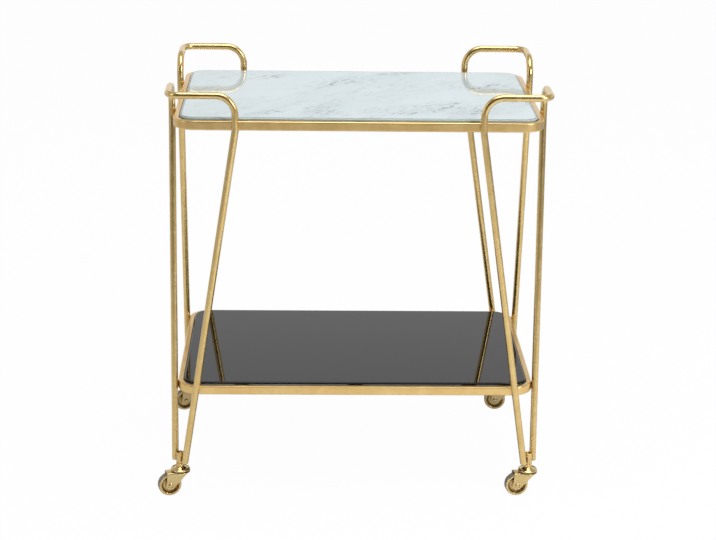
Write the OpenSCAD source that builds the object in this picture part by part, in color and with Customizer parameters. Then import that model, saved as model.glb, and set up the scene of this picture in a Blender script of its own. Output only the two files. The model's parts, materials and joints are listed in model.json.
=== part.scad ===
// Two-tier tube trolley: a marble-look glass top and a black glass shelf in
// rectangular tube frames, carried by four bent corner hoops on swivel casters.
// The origin is on the floor under the middle of the trays. The front is -Y.

/* [Trays] */
// Width of both trays over their frames
tray_w = 640; // [520:5:800]
// Depth of both trays over their frames
tray_d = 400; // [320:4:520]
// Outer radius of the tray corners
corner_r = 38; // [28:1:60]
// Height of the top frame's upper edge
top_z = 698; // [620:1:800]
// Height of the shelf frame's upper edge
shelf_z = 211; // [150:1:320]

/* [Frame tube] */
// Width of the frame tube, seen from above
frame_t = 10; // [8:0.5:16]
// Height of the frame tube
frame_h = 16; // [12:1:26]
// Wall of the frame tube
frame_wall = 1.5; // [1:0.1:2.5]
// Rounding of the frame tube's long edges
frame_edge_r = 2; // [1:0.1:3]
// Drain holes in the underside of the frame tube
drain_d = 4; // [3:0.5:6]

/* [Glass panes] */
// Thickness of both panes
glass_t = 5; // [4:0.5:8]
// Gap between a pane and its frame
glass_gap = 1; // [0.5:0.25:3]
// Height of a pane's face above its frame
glass_proud = 4; // [0:0.25:5]

/* [Pane supports] */
// Width of a support tab along the frame
tab_w = 26; // [16:1:40]
// Reach of a support tab under the pane
tab_reach = 18; // [12:1:30]
// Thickness of a support tab
tab_t = 2; // [1.5:0.5:4]
// Diameter of the bumper on each tab
pad_d = 12; // [8:1:16]
// Height of the bumper under the pane
pad_t = 1.5; // [1:0.25:3]
// Diameter of the bumper's peg through the tab
peg_d = 5; // [3:0.5:6]

/* [Corner hoops] */
// Diameter of the hoop tube
tube_d = 12; // [10:0.5:16]
// Wall of the hoop tube
tube_wall = 1.5; // [1:0.1:2.5]
// Height of the handle rails over the floor, at their tops
handle_top_z = 750; // [690:1:900]
// Length of the handle rail along the front or back, corner to leg
front_arm = 114; // [85:1:150]
// Length of the handle rail along the side, corner to leg
side_arm = 100; // [85:1:130]
// Bend radius where a rail turns down into a leg
loop_r = 33; // [20:1:36]
// Bend radius where the rail turns round the tray corner
wrap_r = 20; // [14:1:30]
// Depth of the legs' lean point below the top frame's upper edge
lean_drop = 14; // [8:1:40]
// Weld gap between the tube and what it is welded to
weld_gap = 0.1; // [0.05:0.05:0.3]

/* [Caster sockets] */
// Outside diameter of the socket sleeve
socket_d = 14; // [12:0.5:18]
// Length of the socket sleeve
socket_h = 20; // [18:1:30]
// Height of the leg ends above the sleeve's lower end
leg_end_rise = 2; // [0:0.5:6]

/* [Casters] */
// Diameter of the wheel over its tyre
wheel_d = 42; // [36:1:50]
// Width of the wheel over its rim flanges
wheel_w = 14; // [10:0.5:16]
// Radius of the wheel's dished side, at its mouth
dish_r = 16.6; // [14:0.1:18]
// Width of the tyre band between the flanges
tyre_w = 10.4; // [7:0.2:12]
// Thickness of the tyre band
tyre_t = 2.6; // [1.6:0.1:4]
// Height of the tyre's tread over the flanges
tread_rise = 0.7; // [0.4:0.1:1.5]
// Distance from the swivel axis back to the axle
trail = 20.5; // [16:0.5:26]
// Turn of each caster at rest: front left, front right, back left, back right
caster_turn = [18, 8, 22, -3]; // [-45:1:45]
// Clear space between the fork's cheeks
fork_gap = 17; // [16:0.5:20]
// Thickness of the fork's sheet
fork_t = 2; // [1.5:0.25:3]
// Radius of the rounded end of a fork cheek
cheek_r = 8; // [6:0.5:10]
// Diameter of the fork's round top
fork_top_d = 36; // [34:1:44]
// Lean of the cheeks' back edge, forward to the fork's top
cheek_lean = 2; // [0:0.5:6]
// Inner bend radius between the fork's top and its cheeks
fork_bend_r = 1; // [0.5:0.1:2]
// Diameter of the race cap's rolled rim
cap_d = 35; // [33:1:44]
// Height of the race cap's boss over its dish
boss_h = 3.4; // [1:0.2:5]
// Diameter of the axle rivet
axle_d = 6; // [4:0.5:8]
// Diameter of the king pin in the fork
pin_d = 8; // [6:0.5:10]
// Diameter of the stem's collar under the socket
collar_d = 15; // [14:0.5:20]
// Height of the stem's collar
collar_h = 7.6; // [5:0.2:14]
// Diameter of the stem in the socket
stem_d = 7.7; // [6:0.1:9]
// Length of the stem in the socket
stem_h = 18; // [14:1:24]

/* [Ball race] */
// Number of balls
ball_count = 12; // [8:1:16]
// Diameter of a ball
ball_d = 3.2; // [2.5:0.1:4]
// Radius of the circle that the balls run on
ball_ring_r = 11.5; // [10:0.5:13]
// Depth of the ball grooves
groove_depth = 0.5; // [0.3:0.1:0.8]
// Play round a ball in its grooves
ball_play = 0.15; // [0.1:0.05:0.3]

/* [Fits] */
// Running clearance round a pin or axle, on the radius
run_fit = 0.05; // [0.02:0.01:0.1]
// Side play between faces that turn past each other
side_play = 0.2; // [0.1:0.05:0.4]
// Gap between the tyre band and its seat on the rim
tyre_fit = 0.2; // [0.15:0.05:0.4]
// Clearance between the wheel's tyre and the fork's top
wheel_clear = 1.4; // [1:0.1:3]

/* [Hidden] */
CORNERS = ["front_left", "front_right", "back_left", "back_right"];
CORNER_PARTS = ["hoop", "socket", "stem", "grip_ring", "race_cap", "ball_ring",
    "fork", "axle", "wheel", "tyre"];
TRAY_PARTS = ["top_frame", "top_tabs", "top_bumpers", "marble_top",
    "shelf_frame", "shelf_tabs", "shelf_bumpers", "black_glass_shelf"];
$fn = 48;
eps = 0.5;

gold = [0.80, 0.66, 0.42];
marble = [0.90, 0.92, 0.92];
black_glass = [0.08, 0.08, 0.09];
steel = [0.75, 0.75, 0.77];
clear_rubber = [0.85, 0.85, 0.82];
tyre_grey = [0.47, 0.46, 0.43];

// Panes
pane_w = tray_w - 2 * (frame_t + glass_gap);
pane_d = tray_d - 2 * (frame_t + glass_gap);
pane_r = corner_r - frame_t - glass_gap;
edge_r = glass_t / 2;
tab_top = glass_proud - glass_t - pad_t;
tabs_long_x = tray_w * 0.32;

// Hoops: centre lines of the rails, feet of the legs and the socket between them
tube_r = tube_d / 2;
corner_skin = 0.04;
rail_x = tray_w / 2 + tube_r + weld_gap;
rail_y = tray_d / 2 + tube_r + weld_gap;
rail_z = handle_top_z - tube_r;
foot_step = (tube_r + socket_d / 2 + weld_gap) / sqrt(2);
socket_x = rail_x - foot_step;
socket_y = rail_y - foot_step;

// Heights of the caster, from the floor up
wheel_r = wheel_d / 2;
axle_z = wheel_r;
fork_under_z = wheel_d + wheel_clear;
fork_top_z = fork_under_z + fork_t;
ball_z = fork_top_z - groove_depth + ball_play + ball_d / 2;
cap_under_z = ball_z + ball_d / 2 + ball_play - groove_depth;
cap_t = 2.6;
cap_top_z = cap_under_z + cap_t;
cap_rim_r = 2;
boss_top_z = cap_top_z + boss_h;
socket_z = boss_top_z + collar_h;
leg_end_z = socket_z + leg_end_rise;
lean_z = top_z - lean_drop;
pin_head_r = 6;
pin_head_h = 1.8;
groove_r = ball_d / 2 + ball_play;
grip_wall = 0.8;
grip_h = 11;
socket_bore = stem_d + 1;
hub_w = fork_gap - 2 * side_play;
hub_r = 9;
web_t = 3;
dish_draft = 2.2;
flange_r = wheel_r - tread_rise;
seat_r = wheel_r - tyre_t;
rivet_head_r = 4.8;
rivet_head_h = 1.4;

// ---- geometry helpers ------------------------------------------------------

function unit(v) = v / norm(v);

// The point where a line from p touches the circle round c, on one side of it
function touch(p, c, r, side) =
    let (reach = norm(p - c), base = atan2(p[1] - c[1], p[0] - c[0]), a = acos(r / reach))
    c + r * [cos(base + side * a), sin(base + side * a)];

function placed(o, x, y, z) = [
    [x[0], y[0], z[0], o[0]],
    [x[1], y[1], z[1], o[1]],
    [x[2], y[2], z[2], o[2]],
    [0, 0, 0, 1]
];

// A rectangle with round corners, centred on the origin
module round_rect(w, h, r) {
    square([w - 2 * r, h], center = true);
    square([w, h - 2 * r], center = true);
    for (x = [-1, 1], y = [-1, 1])
        translate([x * (w / 2 - r), y * (h / 2 - r)])
            circle(r);
}

// Carries a section round a rectangle with round corners: the section's x = 0
// follows the outline, and its -x side lies inside
module round_sweep(w, d, r) {
    a = w / 2 - r;
    b = d / 2 - r;
    for (half = [0, 180])
        rotate([0, 0, half]) {
            translate([w / 2, b, 0])
                rotate([90, 0, 0])
                    linear_extrude(2 * b)
                        children();
            translate([-a, d / 2, 0])
                rotate([90, 0, 90])
                    linear_extrude(2 * a)
                        children();
            translate([a, b, 0])
                rotate_extrude(angle = 90)
                    translate([r, 0])
                        children();
            translate([-a, b, 0])
                rotate([0, 0, 90])
                    rotate_extrude(angle = 90)
                        translate([r, 0])
                            children();
        }
}

// A rod that starts up +Z. Each bend is [turn, angle, radius]: the rod turns
// round itself, bends toward its own +X, and the next straight run follows. A
// bend of radius 0 is a corner, filled by a ball a little thicker than the rod
module rod_run(r, runs, bends, i = 0) {
    cylinder(r = r, h = runs[i]);
    if (i < len(bends))
        translate([0, 0, runs[i]])
            rotate([0, 0, bends[i][0]])
                if (bends[i][2] > 0)
                    translate([bends[i][2], 0, 0]) {
                        rotate([90, 0, 180])
                            rotate_extrude(angle = bends[i][1])
                                translate([bends[i][2], 0])
                                    circle(r);
                        rotate([0, bends[i][1], 0])
                            translate([-bends[i][2], 0, 0])
                                rod_run(r, runs, bends, i + 1);
                    }
                else {
                    sphere(r + corner_skin);
                    rotate([0, bends[i][1], 0])
                        rod_run(r, runs, bends, i + 1);
                }
}

// A rod along points, bent with the given radius at each inner point
module bent_rod(r, points, radii) {
    last = len(points) - 1;
    dirs = [for (i = [0 : last - 1]) unit(points[i + 1] - points[i])];
    angles = [for (i = [1 : last - 1]) acos(dirs[i - 1] * dirs[i])];
    inward = [for (i = [1 : last - 1]) unit(dirs[i] - dirs[i - 1] * (dirs[i - 1] * dirs[i]))];
    carried = [for (i = [0 : last - 2]) cos(angles[i]) * inward[i] - sin(angles[i]) * dirs[i]];
    turns = [for (i = [0 : last - 2])
        i == 0 ? 0 : atan2(inward[i] * cross(dirs[i], carried[i - 1]), inward[i] * carried[i - 1])];
    cuts = [for (i = [0 : last])
        i == 0 || i == last ? 0 : radii[i - 1] * tan(angles[i - 1] / 2)];
    runs = [for (i = [0 : last - 1]) norm(points[i + 1] - points[i]) - cuts[i] - cuts[i + 1]];
    bends = [for (i = [0 : last - 2]) [turns[i], angles[i], radii[i]]];
    multmatrix(placed(points[0], inward[0], cross(dirs[0], inward[0]), dirs[0]))
        rod_run(r, runs, bends);
}

// ---- trays -----------------------------------------------------------------

module frame_section() {
    translate([-frame_t / 2, -frame_h / 2])
        difference() {
            round_rect(frame_t, frame_h, frame_edge_r);
            round_rect(frame_t - 2 * frame_wall, frame_h - 2 * frame_wall,
                max(frame_edge_r - frame_wall, 0.3));
        }
}

module tray_frame(z) {
    drain_x = tray_w / 2 - corner_r;
    drain_y = tray_d / 2 - frame_t / 2;
    color(gold)
        difference() {
            translate([0, 0, z])
                round_sweep(tray_w, tray_d, corner_r)
                    frame_section();
            for (x = [-1, 1], y = [-1, 1])
                translate([x * drain_x, y * drain_y, z - frame_h - eps])
                    cylinder(d = drain_d, h = frame_wall + 2 * eps);
        }
}

// Puts its children at each tab: the origin on the frame's inner wall at the
// frame's upper edge, +X reaching under the pane
module at_tabs(z) {
    wall_x = tray_w / 2 - frame_t;
    wall_y = tray_d / 2 - frame_t;
    for (side = [0, 180])
        rotate([0, 0, side]) {
            translate([-wall_x, 0, z])
                children();
            for (x = [-tabs_long_x, 0, tabs_long_x])
                translate([x, -wall_y, z])
                    rotate([0, 0, 90])
                        children();
        }
}

module pane_tabs(z) {
    peg_x = tab_reach - tab_w / 4;
    color(gold)
        at_tabs(z)
            translate([0, 0, tab_top - tab_t])
                linear_extrude(tab_t)
                    difference() {
                        union() {
                            translate([0, -tab_w / 2])
                                square([peg_x, tab_w]);
                            translate([peg_x, 0])
                                round_rect(tab_w / 2, tab_w, tab_w / 8);
                        }
                        translate([tab_reach / 2, 0])
                            circle(d = peg_d + 2 * run_fit);
                    }
}

module pane_bumpers(z) {
    bead = 1;
    color(clear_rubber)
        at_tabs(z)
            translate([tab_reach / 2, 0, tab_top])
                rotate_extrude() {
                    square([pad_d / 2 - pad_t / 2, pad_t]);
                    translate([pad_d / 2 - pad_t / 2, pad_t / 2])
                        intersection() {
                            circle(pad_t / 2);
                            translate([0, -pad_t / 2])
                                square([pad_t, pad_t]);
                        }
                    translate([0, -tab_t - bead])
                        square([peg_d / 2, tab_t + bead + pad_t / 2]);
                }
}

module pane(z) {
    translate([0, 0, z + glass_proud - edge_r]) {
        translate([0, 0, -edge_r])
            linear_extrude(glass_t)
                round_rect(pane_w - glass_t, pane_d - glass_t, pane_r - edge_r);
        round_sweep(pane_w, pane_d, pane_r) {
            translate([-edge_r, 0])
                circle(edge_r);
            translate([-glass_t, -edge_r])
                square([edge_r, glass_t]);
        }
    }
}

module marble_top() {
    color(marble)
        pane(top_z);
}

module black_glass_shelf() {
    color(black_glass)
        pane(shelf_z);
}

// ---- one corner, drawn for +X +Y and mirrored to the others -------------------

module hoop() {
    side_leg_y = rail_y - side_arm;
    front_leg_x = rail_x - front_arm;
    side_foot = [rail_x, socket_y - foot_step, leg_end_z];
    front_foot = [socket_x - foot_step, rail_y, leg_end_z];
    side_lean = [rail_x, side_leg_y, lean_z];
    front_lean = [front_leg_x, rail_y, lean_z];
    past_end = 2 * tube_d;
    points = [
        side_foot + past_end * unit(side_foot - side_lean),
        side_lean,
        [rail_x, side_leg_y, rail_z],
        [rail_x, rail_y, rail_z],
        [front_leg_x, rail_y, rail_z],
        front_lean,
        front_foot + past_end * unit(front_foot - front_lean)
    ];
    radii = [0, loop_r, wrap_r, loop_r, 0];
    color(gold)
        difference() {
            bent_rod(tube_r, points, radii);
            bent_rod(tube_r - tube_wall, points, radii);
            translate([socket_x - 4 * tube_d, socket_y - 4 * tube_d, leg_end_z - 3 * tube_d])
                cube([8 * tube_d, 8 * tube_d, 3 * tube_d]);
        }
}

module socket() {
    chamfer = 0.6;
    bore_r = socket_bore / 2;
    r = socket_d / 2;
    color(gold)
        translate([socket_x, socket_y, socket_z])
            rotate_extrude()
                polygon([
                    [bore_r, 0],
                    [r - chamfer, 0],
                    [r, chamfer],
                    [r, socket_h - chamfer],
                    [r - chamfer, socket_h],
                    [bore_r + chamfer, socket_h],
                    [bore_r, socket_h - chamfer]
                ]);
}

// ---- caster, drawn round its swivel axis, trailing to -X ----------------------

module stem() {
    head_z = fork_under_z - side_play - pin_head_h;
    chamfer = 1.2;
    neck = grip_wall * 0.6;
    r = stem_d / 2;
    ring_z = socket_z + (stem_h - grip_h) / 2;
    color(gold)
        rotate_extrude()
            polygon([
                [0, head_z],
                [pin_head_r - pin_head_h / 2, head_z],
                [pin_head_r, head_z + pin_head_h / 2],
                [pin_head_r, head_z + pin_head_h],
                [pin_d / 2, head_z + pin_head_h],
                [pin_d / 2, boss_top_z],
                [collar_d / 2, boss_top_z],
                [collar_d / 2, socket_z - chamfer],
                [collar_d / 2 - chamfer, socket_z],
                [r, socket_z],
                [r, ring_z],
                [r - neck, ring_z],
                [r - neck, ring_z + grip_h],
                [r, ring_z + grip_h],
                [r, socket_z + stem_h - chamfer],
                [r - chamfer, socket_z + stem_h],
                [0, socket_z + stem_h]
            ]);
}

module grip_ring() {
    inner = stem_d / 2 - grip_wall * 0.6 + run_fit;
    ring_z = socket_z + (stem_h - grip_h) / 2;
    slot = 30;
    color(steel)
        translate([0, 0, ring_z + side_play])
            rotate_extrude(angle = 360 - slot)
                translate([inner, 0])
                    square([socket_bore / 2 - run_fit - inner, grip_h - 2 * side_play]);
}

module ball_groove() {
    translate([ball_ring_r, ball_z])
        circle(groove_r);
}

module race_cap() {
    bore_r = pin_d / 2 + run_fit;
    rim_in = cap_d / 2 - cap_rim_r;
    color(gold)
        rotate_extrude()
            difference() {
                union() {
                    translate([rim_in, cap_top_z - cap_rim_r / 2])
                        circle(cap_rim_r);
                    polygon([
                        [bore_r, cap_under_z],
                        [rim_in, cap_under_z],
                        [rim_in, cap_top_z],
                        [rim_in - cap_rim_r, cap_top_z],
                        [collar_d / 2 + 0.6, boss_top_z - 0.6],
                        [collar_d / 2, boss_top_z],
                        [bore_r, boss_top_z]
                    ]);
                }
                ball_groove();
            }
}

module ball_ring() {
    color(steel)
        for (i = [0 : ball_count - 1])
            rotate([0, 0, i * 360 / ball_count])
                translate([ball_ring_r, 0, ball_z])
                    sphere(d = ball_d, $fn = 64);
}

// The fork from the side: wide under the round top, an almost upright back edge,
// rounded at the axle
module fork_outline() {
    axle = [-trail, axle_z];
    edge = cheek_r - 0.08;
    over_z = fork_top_z + eps;
    top_half = sqrt(pow(fork_top_d / 2 - fork_t / 2, 2) - pow(fork_gap / 2 + fork_t, 2));
    back = [-trail - cheek_r + cheek_lean, fork_top_z];
    front = [top_half, fork_under_z + fork_t / 2];
    difference() {
        union() {
            polygon([
                [back[0], over_z],
                back,
                touch(back, axle, edge, 1),
                axle,
                touch(front, axle, edge, -1),
                front,
                [front[0], over_z]
            ]);
            translate(axle)
                circle(cheek_r);
        }
        translate(axle)
            circle(axle_d / 2 + run_fit);
    }
}

// The fork's sheet from behind: the top and both cheeks, bent round
module fork_channel() {
    outer_w = fork_gap + 2 * fork_t;
    depth = fork_top_z + 2 * cheek_r;
    translate([0, fork_top_z - depth / 2])
        difference() {
            round_rect(outer_w, depth, fork_bend_r + fork_t);
            translate([0, -fork_t])
                round_rect(fork_gap, depth, fork_bend_r);
        }
}

module fork() {
    reach = trail + 2 * cheek_r;
    color(gold)
        difference() {
            union() {
                intersection() {
                    translate([-reach, 0, 0])
                        rotate([90, 0, 90])
                            linear_extrude(reach + fork_top_d)
                                fork_channel();
                    translate([0, fork_gap, 0])
                        rotate([90, 0, 0])
                            linear_extrude(2 * fork_gap)
                                fork_outline();
                }
                rotate_extrude() {
                    translate([0, fork_under_z])
                        square([fork_top_d / 2 - fork_t / 2, fork_t]);
                    translate([fork_top_d / 2 - fork_t / 2, fork_under_z + fork_t / 2])
                        circle(fork_t / 2);
                }
            }
            translate([0, 0, fork_under_z - eps])
                cylinder(r = pin_d / 2 + run_fit, h = fork_t + 2 * eps);
            rotate_extrude()
                ball_groove();
        }
}

module on_axle() {
    translate([-trail, 0, axle_z])
        rotate([90, 0, 0])
            rotate_extrude()
                children();
}

module axle() {
    half = fork_gap / 2 + fork_t;
    step = rivet_head_h / 3;
    color(gold)
        on_axle()
            polygon([
                [0, -half - rivet_head_h],
                [rivet_head_r / 2, -half - rivet_head_h],
                [rivet_head_r, -half - step],
                [rivet_head_r, -half],
                [axle_d / 2, -half],
                [axle_d / 2, half],
                [rivet_head_r, half],
                [rivet_head_r, half + step],
                [rivet_head_r / 2, half + rivet_head_h],
                [0, half + rivet_head_h]
            ]);
}

module wheel() {
    bore_r = axle_d / 2 + run_fit;
    half = wheel_w / 2;
    seat = tyre_w / 2 + side_play;
    edge = 0.5;
    side = [
        [bore_r, hub_w / 2],
        [hub_r - edge, hub_w / 2],
        [hub_r, hub_w / 2 - edge],
        [hub_r, web_t / 2],
        [dish_r - dish_draft, web_t / 2],
        [dish_r, half],
        [flange_r - edge, half],
        [flange_r, half - edge],
        [flange_r, seat],
        [seat_r, seat]
    ];
    color(gold)
        on_axle()
            polygon(concat(side, [for (i = [len(side) - 1 : -1 : 0]) [side[i][0], -side[i][1]]]));
}

module tyre() {
    shoulder = (tyre_t - tyre_fit) * 0.4;
    inner = seat_r + tyre_fit;
    half = tyre_w / 2;
    color(tyre_grey)
        on_axle() {
            translate([inner, -half])
                square([wheel_r - shoulder - inner, tyre_w]);
            translate([inner, -half + shoulder])
                square([wheel_r - inner, tyre_w - 2 * shoulder]);
            for (side = [-1, 1])
                translate([wheel_r - shoulder, side * (half - shoulder)])
                    circle(shoulder);
        }
}

// ---- assembly --------------------------------------------------------------

module corner_part(name) {
    if (name == "hoop") hoop();
    if (name == "socket") socket();
}

module caster_part(name) {
    if (name == "stem") stem();
    if (name == "grip_ring") grip_ring();
    if (name == "race_cap") race_cap();
    if (name == "ball_ring") ball_ring();
    if (name == "fork") fork();
    if (name == "axle") axle();
    if (name == "wheel") wheel();
    if (name == "tyre") tyre();
}

// A named piece of corner i: 0 and 1 in front, 2 and 3 behind, even ones left
module corner_piece(i, name) {
    sx = i % 2 == 0 ? -1 : 1;
    sy = i < 2 ? -1 : 1;
    mirror([sx < 0 ? 1 : 0, 0, 0])
        mirror([0, sy < 0 ? 1 : 0, 0])
            corner_part(name);
    translate([sx * socket_x, sy * socket_y, 0])
        rotate([0, 0, caster_turn[i]])
            caster_part(name);
}

tray_frame(top_z);  // top_frame
pane_tabs(top_z);  // top_tabs
pane_bumpers(top_z);  // top_bumpers
marble_top();
tray_frame(shelf_z);  // shelf_frame
pane_tabs(shelf_z);  // shelf_tabs
pane_bumpers(shelf_z);  // shelf_bumpers
black_glass_shelf();
for (i = [0 : 3], name = CORNER_PARTS)
    corner_piece(i, name);
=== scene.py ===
"""A two-tier tube trolley with a marble-look glass top, a black glass shelf and
swivel casters. Lengths are in millimetres until a mesh is made, in the frame
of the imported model: origin on the floor, front toward -Y, +Z up."""

import json
import math

import bpy
import bmesh
import numpy as np
from mathutils import Matrix, Vector

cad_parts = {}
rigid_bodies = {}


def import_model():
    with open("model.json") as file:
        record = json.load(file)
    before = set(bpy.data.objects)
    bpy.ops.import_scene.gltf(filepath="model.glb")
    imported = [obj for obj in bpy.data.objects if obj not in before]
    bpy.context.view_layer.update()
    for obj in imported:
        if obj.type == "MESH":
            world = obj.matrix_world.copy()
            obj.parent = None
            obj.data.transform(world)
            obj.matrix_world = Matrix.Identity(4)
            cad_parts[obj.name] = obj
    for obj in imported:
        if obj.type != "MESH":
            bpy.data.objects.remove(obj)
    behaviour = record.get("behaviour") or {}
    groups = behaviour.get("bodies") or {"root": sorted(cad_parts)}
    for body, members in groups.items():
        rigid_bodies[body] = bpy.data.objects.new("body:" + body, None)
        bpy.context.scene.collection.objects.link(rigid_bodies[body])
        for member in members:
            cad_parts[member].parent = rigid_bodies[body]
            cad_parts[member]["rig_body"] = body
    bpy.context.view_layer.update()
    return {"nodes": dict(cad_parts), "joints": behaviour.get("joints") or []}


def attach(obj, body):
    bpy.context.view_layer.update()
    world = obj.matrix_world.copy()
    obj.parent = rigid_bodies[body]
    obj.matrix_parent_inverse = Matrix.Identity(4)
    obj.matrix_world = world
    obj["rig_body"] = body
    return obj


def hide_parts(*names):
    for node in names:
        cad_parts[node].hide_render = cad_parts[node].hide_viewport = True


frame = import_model()

MM = 0.001
ROOT = "trolley"
CORNERS = {"front_left": (-1, -1), "front_right": (1, -1), "back_left": (-1, 1), "back_right": (1, 1)}

# ---- sizes that the pieces share with the model ------------------------------

TRAY_W, TRAY_D, CORNER_R = 640.0, 400.0, 38.0
FRAME_T, FRAME_H, FRAME_WALL, FRAME_EDGE = 10.0, 16.0, 1.5, 2.0
TOP_Z, SHELF_Z = 698.0, 211.0
GLASS_T, GLASS_GAP, GLASS_PROUD = 5.0, 1.0, 4.0
TUBE_R, TUBE_WALL, WELD_GAP = 6.0, 1.5, 0.1
RAIL_X = TRAY_W / 2 + TUBE_R + WELD_GAP
RAIL_Y = TRAY_D / 2 + TUBE_R + WELD_GAP
RAIL_Z = 744.0
LONG_ARM, SIDE_ARM = 114.0, 100.0
LEAN_Z, LEAN_R, LOOP_R, WRAP_R = TOP_Z - 14.0, 60.0, 33.0, 20.0

WHEEL_R, WHEEL_W, TRAIL = 21.0, 14.0, 20.5
DISH_R, HUB_R, FLANGE_R, SEAT_R, WEB_HALF = 16.6, 9.0, 20.3, 18.4, 1.5
TYRE_W, TYRE_FIT, SIDE_PLAY, RUN_FIT = 10.4, 0.2, 0.2, 0.05
FORK_T, FORK_GAP, CHEEK_R, CHEEK_LEAN = 2.0, 17.0, 8.0, 2.0
FORK_TOP_R, FORK_BEND, CAP_R, CAP_RIM = 18.0, 3.0, 17.5, 2.0
PIN_R, AXLE_R, STEM_R, COLLAR_R = 4.0, 3.0, 3.85, 7.5
SOCKET_R, SOCKET_BORE, SOCKET_H, STEM_H = 7.0, 4.35, 20.0, 18.0
FORK_UNDER = 2 * WHEEL_R + 1.4
FORK_TOP = FORK_UNDER + FORK_T
BALL_R, BALL_RING, BALL_PLAY = 1.6, 11.5, 0.15
GROOVE_R, GROOVE_DEPTH, GROOVE_HALF = 1.75, 0.5, 44.4  # the last in degrees each side of upright
BALL_Z = FORK_TOP - GROOVE_DEPTH + BALL_PLAY + BALL_R
CAP_UNDER = BALL_Z + BALL_R + BALL_PLAY - GROOVE_DEPTH
CAP_TOP = CAP_UNDER + 2.6
BOSS_TOP = CAP_TOP + 3.4
SOCKET_Z = BOSS_TOP + 7.6
LEG_END_Z = SOCKET_Z + 2.0
FOOT_STEP = (TUBE_R + SOCKET_R + WELD_GAP) / math.sqrt(2)
SOCKET_X, SOCKET_Y = RAIL_X - FOOT_STEP, RAIL_Y - FOOT_STEP


# ---- camera: the photograph's place, angle and lens --------------------------

CAMERA_PLACE = (-0.087618, -3.108994, 1.422092)
CAMERA_YAW, CAMERA_PITCH, CAMERA_ROLL = 0.030376, 0.327737, 0.015451
FOCAL_PIXELS, PHOTO_PIXELS, SENSOR_WIDTH = 1754.212, 716.0, 36.0


def place_camera():
    """A level camera turned by yaw and tipped by pitch, then rolled about its own axis."""
    sin_yaw, cos_yaw = math.sin(CAMERA_YAW), math.cos(CAMERA_YAW)
    flat = math.cos(CAMERA_PITCH)
    forward = Vector((sin_yaw * flat, cos_yaw * flat, -math.sin(CAMERA_PITCH)))
    level = Vector((cos_yaw, -sin_yaw, 0.0))
    above = level.cross(forward)
    right = math.cos(CAMERA_ROLL) * level + math.sin(CAMERA_ROLL) * above
    up = math.cos(CAMERA_ROLL) * above - math.sin(CAMERA_ROLL) * level
    data = bpy.data.cameras.new("trolley_camera")
    data.sensor_width = SENSOR_WIDTH
    data.lens = SENSOR_WIDTH * FOCAL_PIXELS / PHOTO_PIXELS
    data.clip_start, data.clip_end = 0.05, 100.0
    camera = bpy.data.objects.new("trolley_camera", data)
    turn = Matrix((right, up, -forward)).transposed().to_4x4()
    camera.matrix_world = Matrix.Translation(CAMERA_PLACE) @ turn
    bpy.context.scene.collection.objects.link(camera)
    bpy.context.scene.camera = camera


place_camera()


# ---- shapes as whole arrays --------------------------------------------------

SHARP_DEGREES = 40


class Shell:
    """Grids of points gathered into one mesh, each point with its place along and around."""

    def __init__(self):
        self.points, self.faces, self.marks, self.count = [], [], [], 0

    def grid(self, points, round_rows=False, round_columns=False, flip=False, marks=None):
        """Joins each point of a grid to its neighbours, four corners a face, wrapped if round."""
        rows, columns = points.shape[:2]
        i, j = np.meshgrid(np.arange(rows if round_rows else rows - 1),
                           np.arange(columns if round_columns else columns - 1), indexing="ij")
        below, beside = (i + 1) % rows, (j + 1) % columns
        quads = np.stack([i * columns + j, below * columns + j,
                          below * columns + beside, i * columns + beside], -1)
        quads = quads.reshape(-1, 4)[:, ::-1 if flip else 1] + self.count
        self.faces.extend(quads.tolist())
        return self._keep(points.reshape(-1, 3), marks)

    def lid(self, ring, flip=False):
        """One flat face over a ring of points."""
        order = np.arange(len(ring))[::-1 if flip else 1] + self.count
        self.faces.append(order.tolist())
        return self._keep(ring, None)

    def _keep(self, points, marks):
        self.points.append(points)
        self.marks.append(np.zeros((len(points), 2)) if marks is None else marks.reshape(-1, 2))
        self.count += len(points)
        return self

    def piece(self, name, material, body, replaces=(), slot=None, merge=0.02):
        """Makes the mesh in metres, with shared seams merged and the marks as its UV map."""
        mesh = bpy.data.meshes.new(name)
        mesh.from_pydata((np.concatenate(self.points) * MM).tolist(), [], self.faces)
        layer = mesh.uv_layers.new(name="along")
        corner = np.zeros(len(mesh.loops), dtype=np.int32)
        mesh.loops.foreach_get("vertex_index", corner)
        marks = np.concatenate(self.marks)[corner].astype(np.float32).ravel() * MM
        layer.data.foreach_set("uv", marks)
        return finish_piece(name, mesh, material, body, replaces, merge)


def finish_piece(name, mesh, material, body, replaces=(), merge=0.02):
    """Merges doubled points, marks the sharp edges, and puts the piece on its body."""
    work = bmesh.new()
    work.from_mesh(mesh)
    bmesh.ops.remove_doubles(work, verts=work.verts, dist=merge * MM)
    for face in work.faces:
        face.smooth = True
    for edge in work.edges:
        sharp = edge.is_manifold and edge.calc_face_angle(0.0) > math.radians(SHARP_DEGREES)
        edge.smooth = not sharp
    work.to_mesh(mesh)
    work.free()
    mesh.materials.append(material)
    thing = bpy.data.objects.new(name, mesh)
    bpy.context.scene.collection.objects.link(thing)
    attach(thing, body)
    if replaces:
        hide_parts(*replaces)
    return thing


def arc(centre, radius, start, end, count):
    """Points on a circle, from one angle to another in degrees: centre + radius (cos, sin)."""
    angle = np.radians(np.linspace(start, end, count))
    return np.stack([centre[0] + radius * np.cos(angle), centre[1] + radius * np.sin(angle)], -1)


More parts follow.
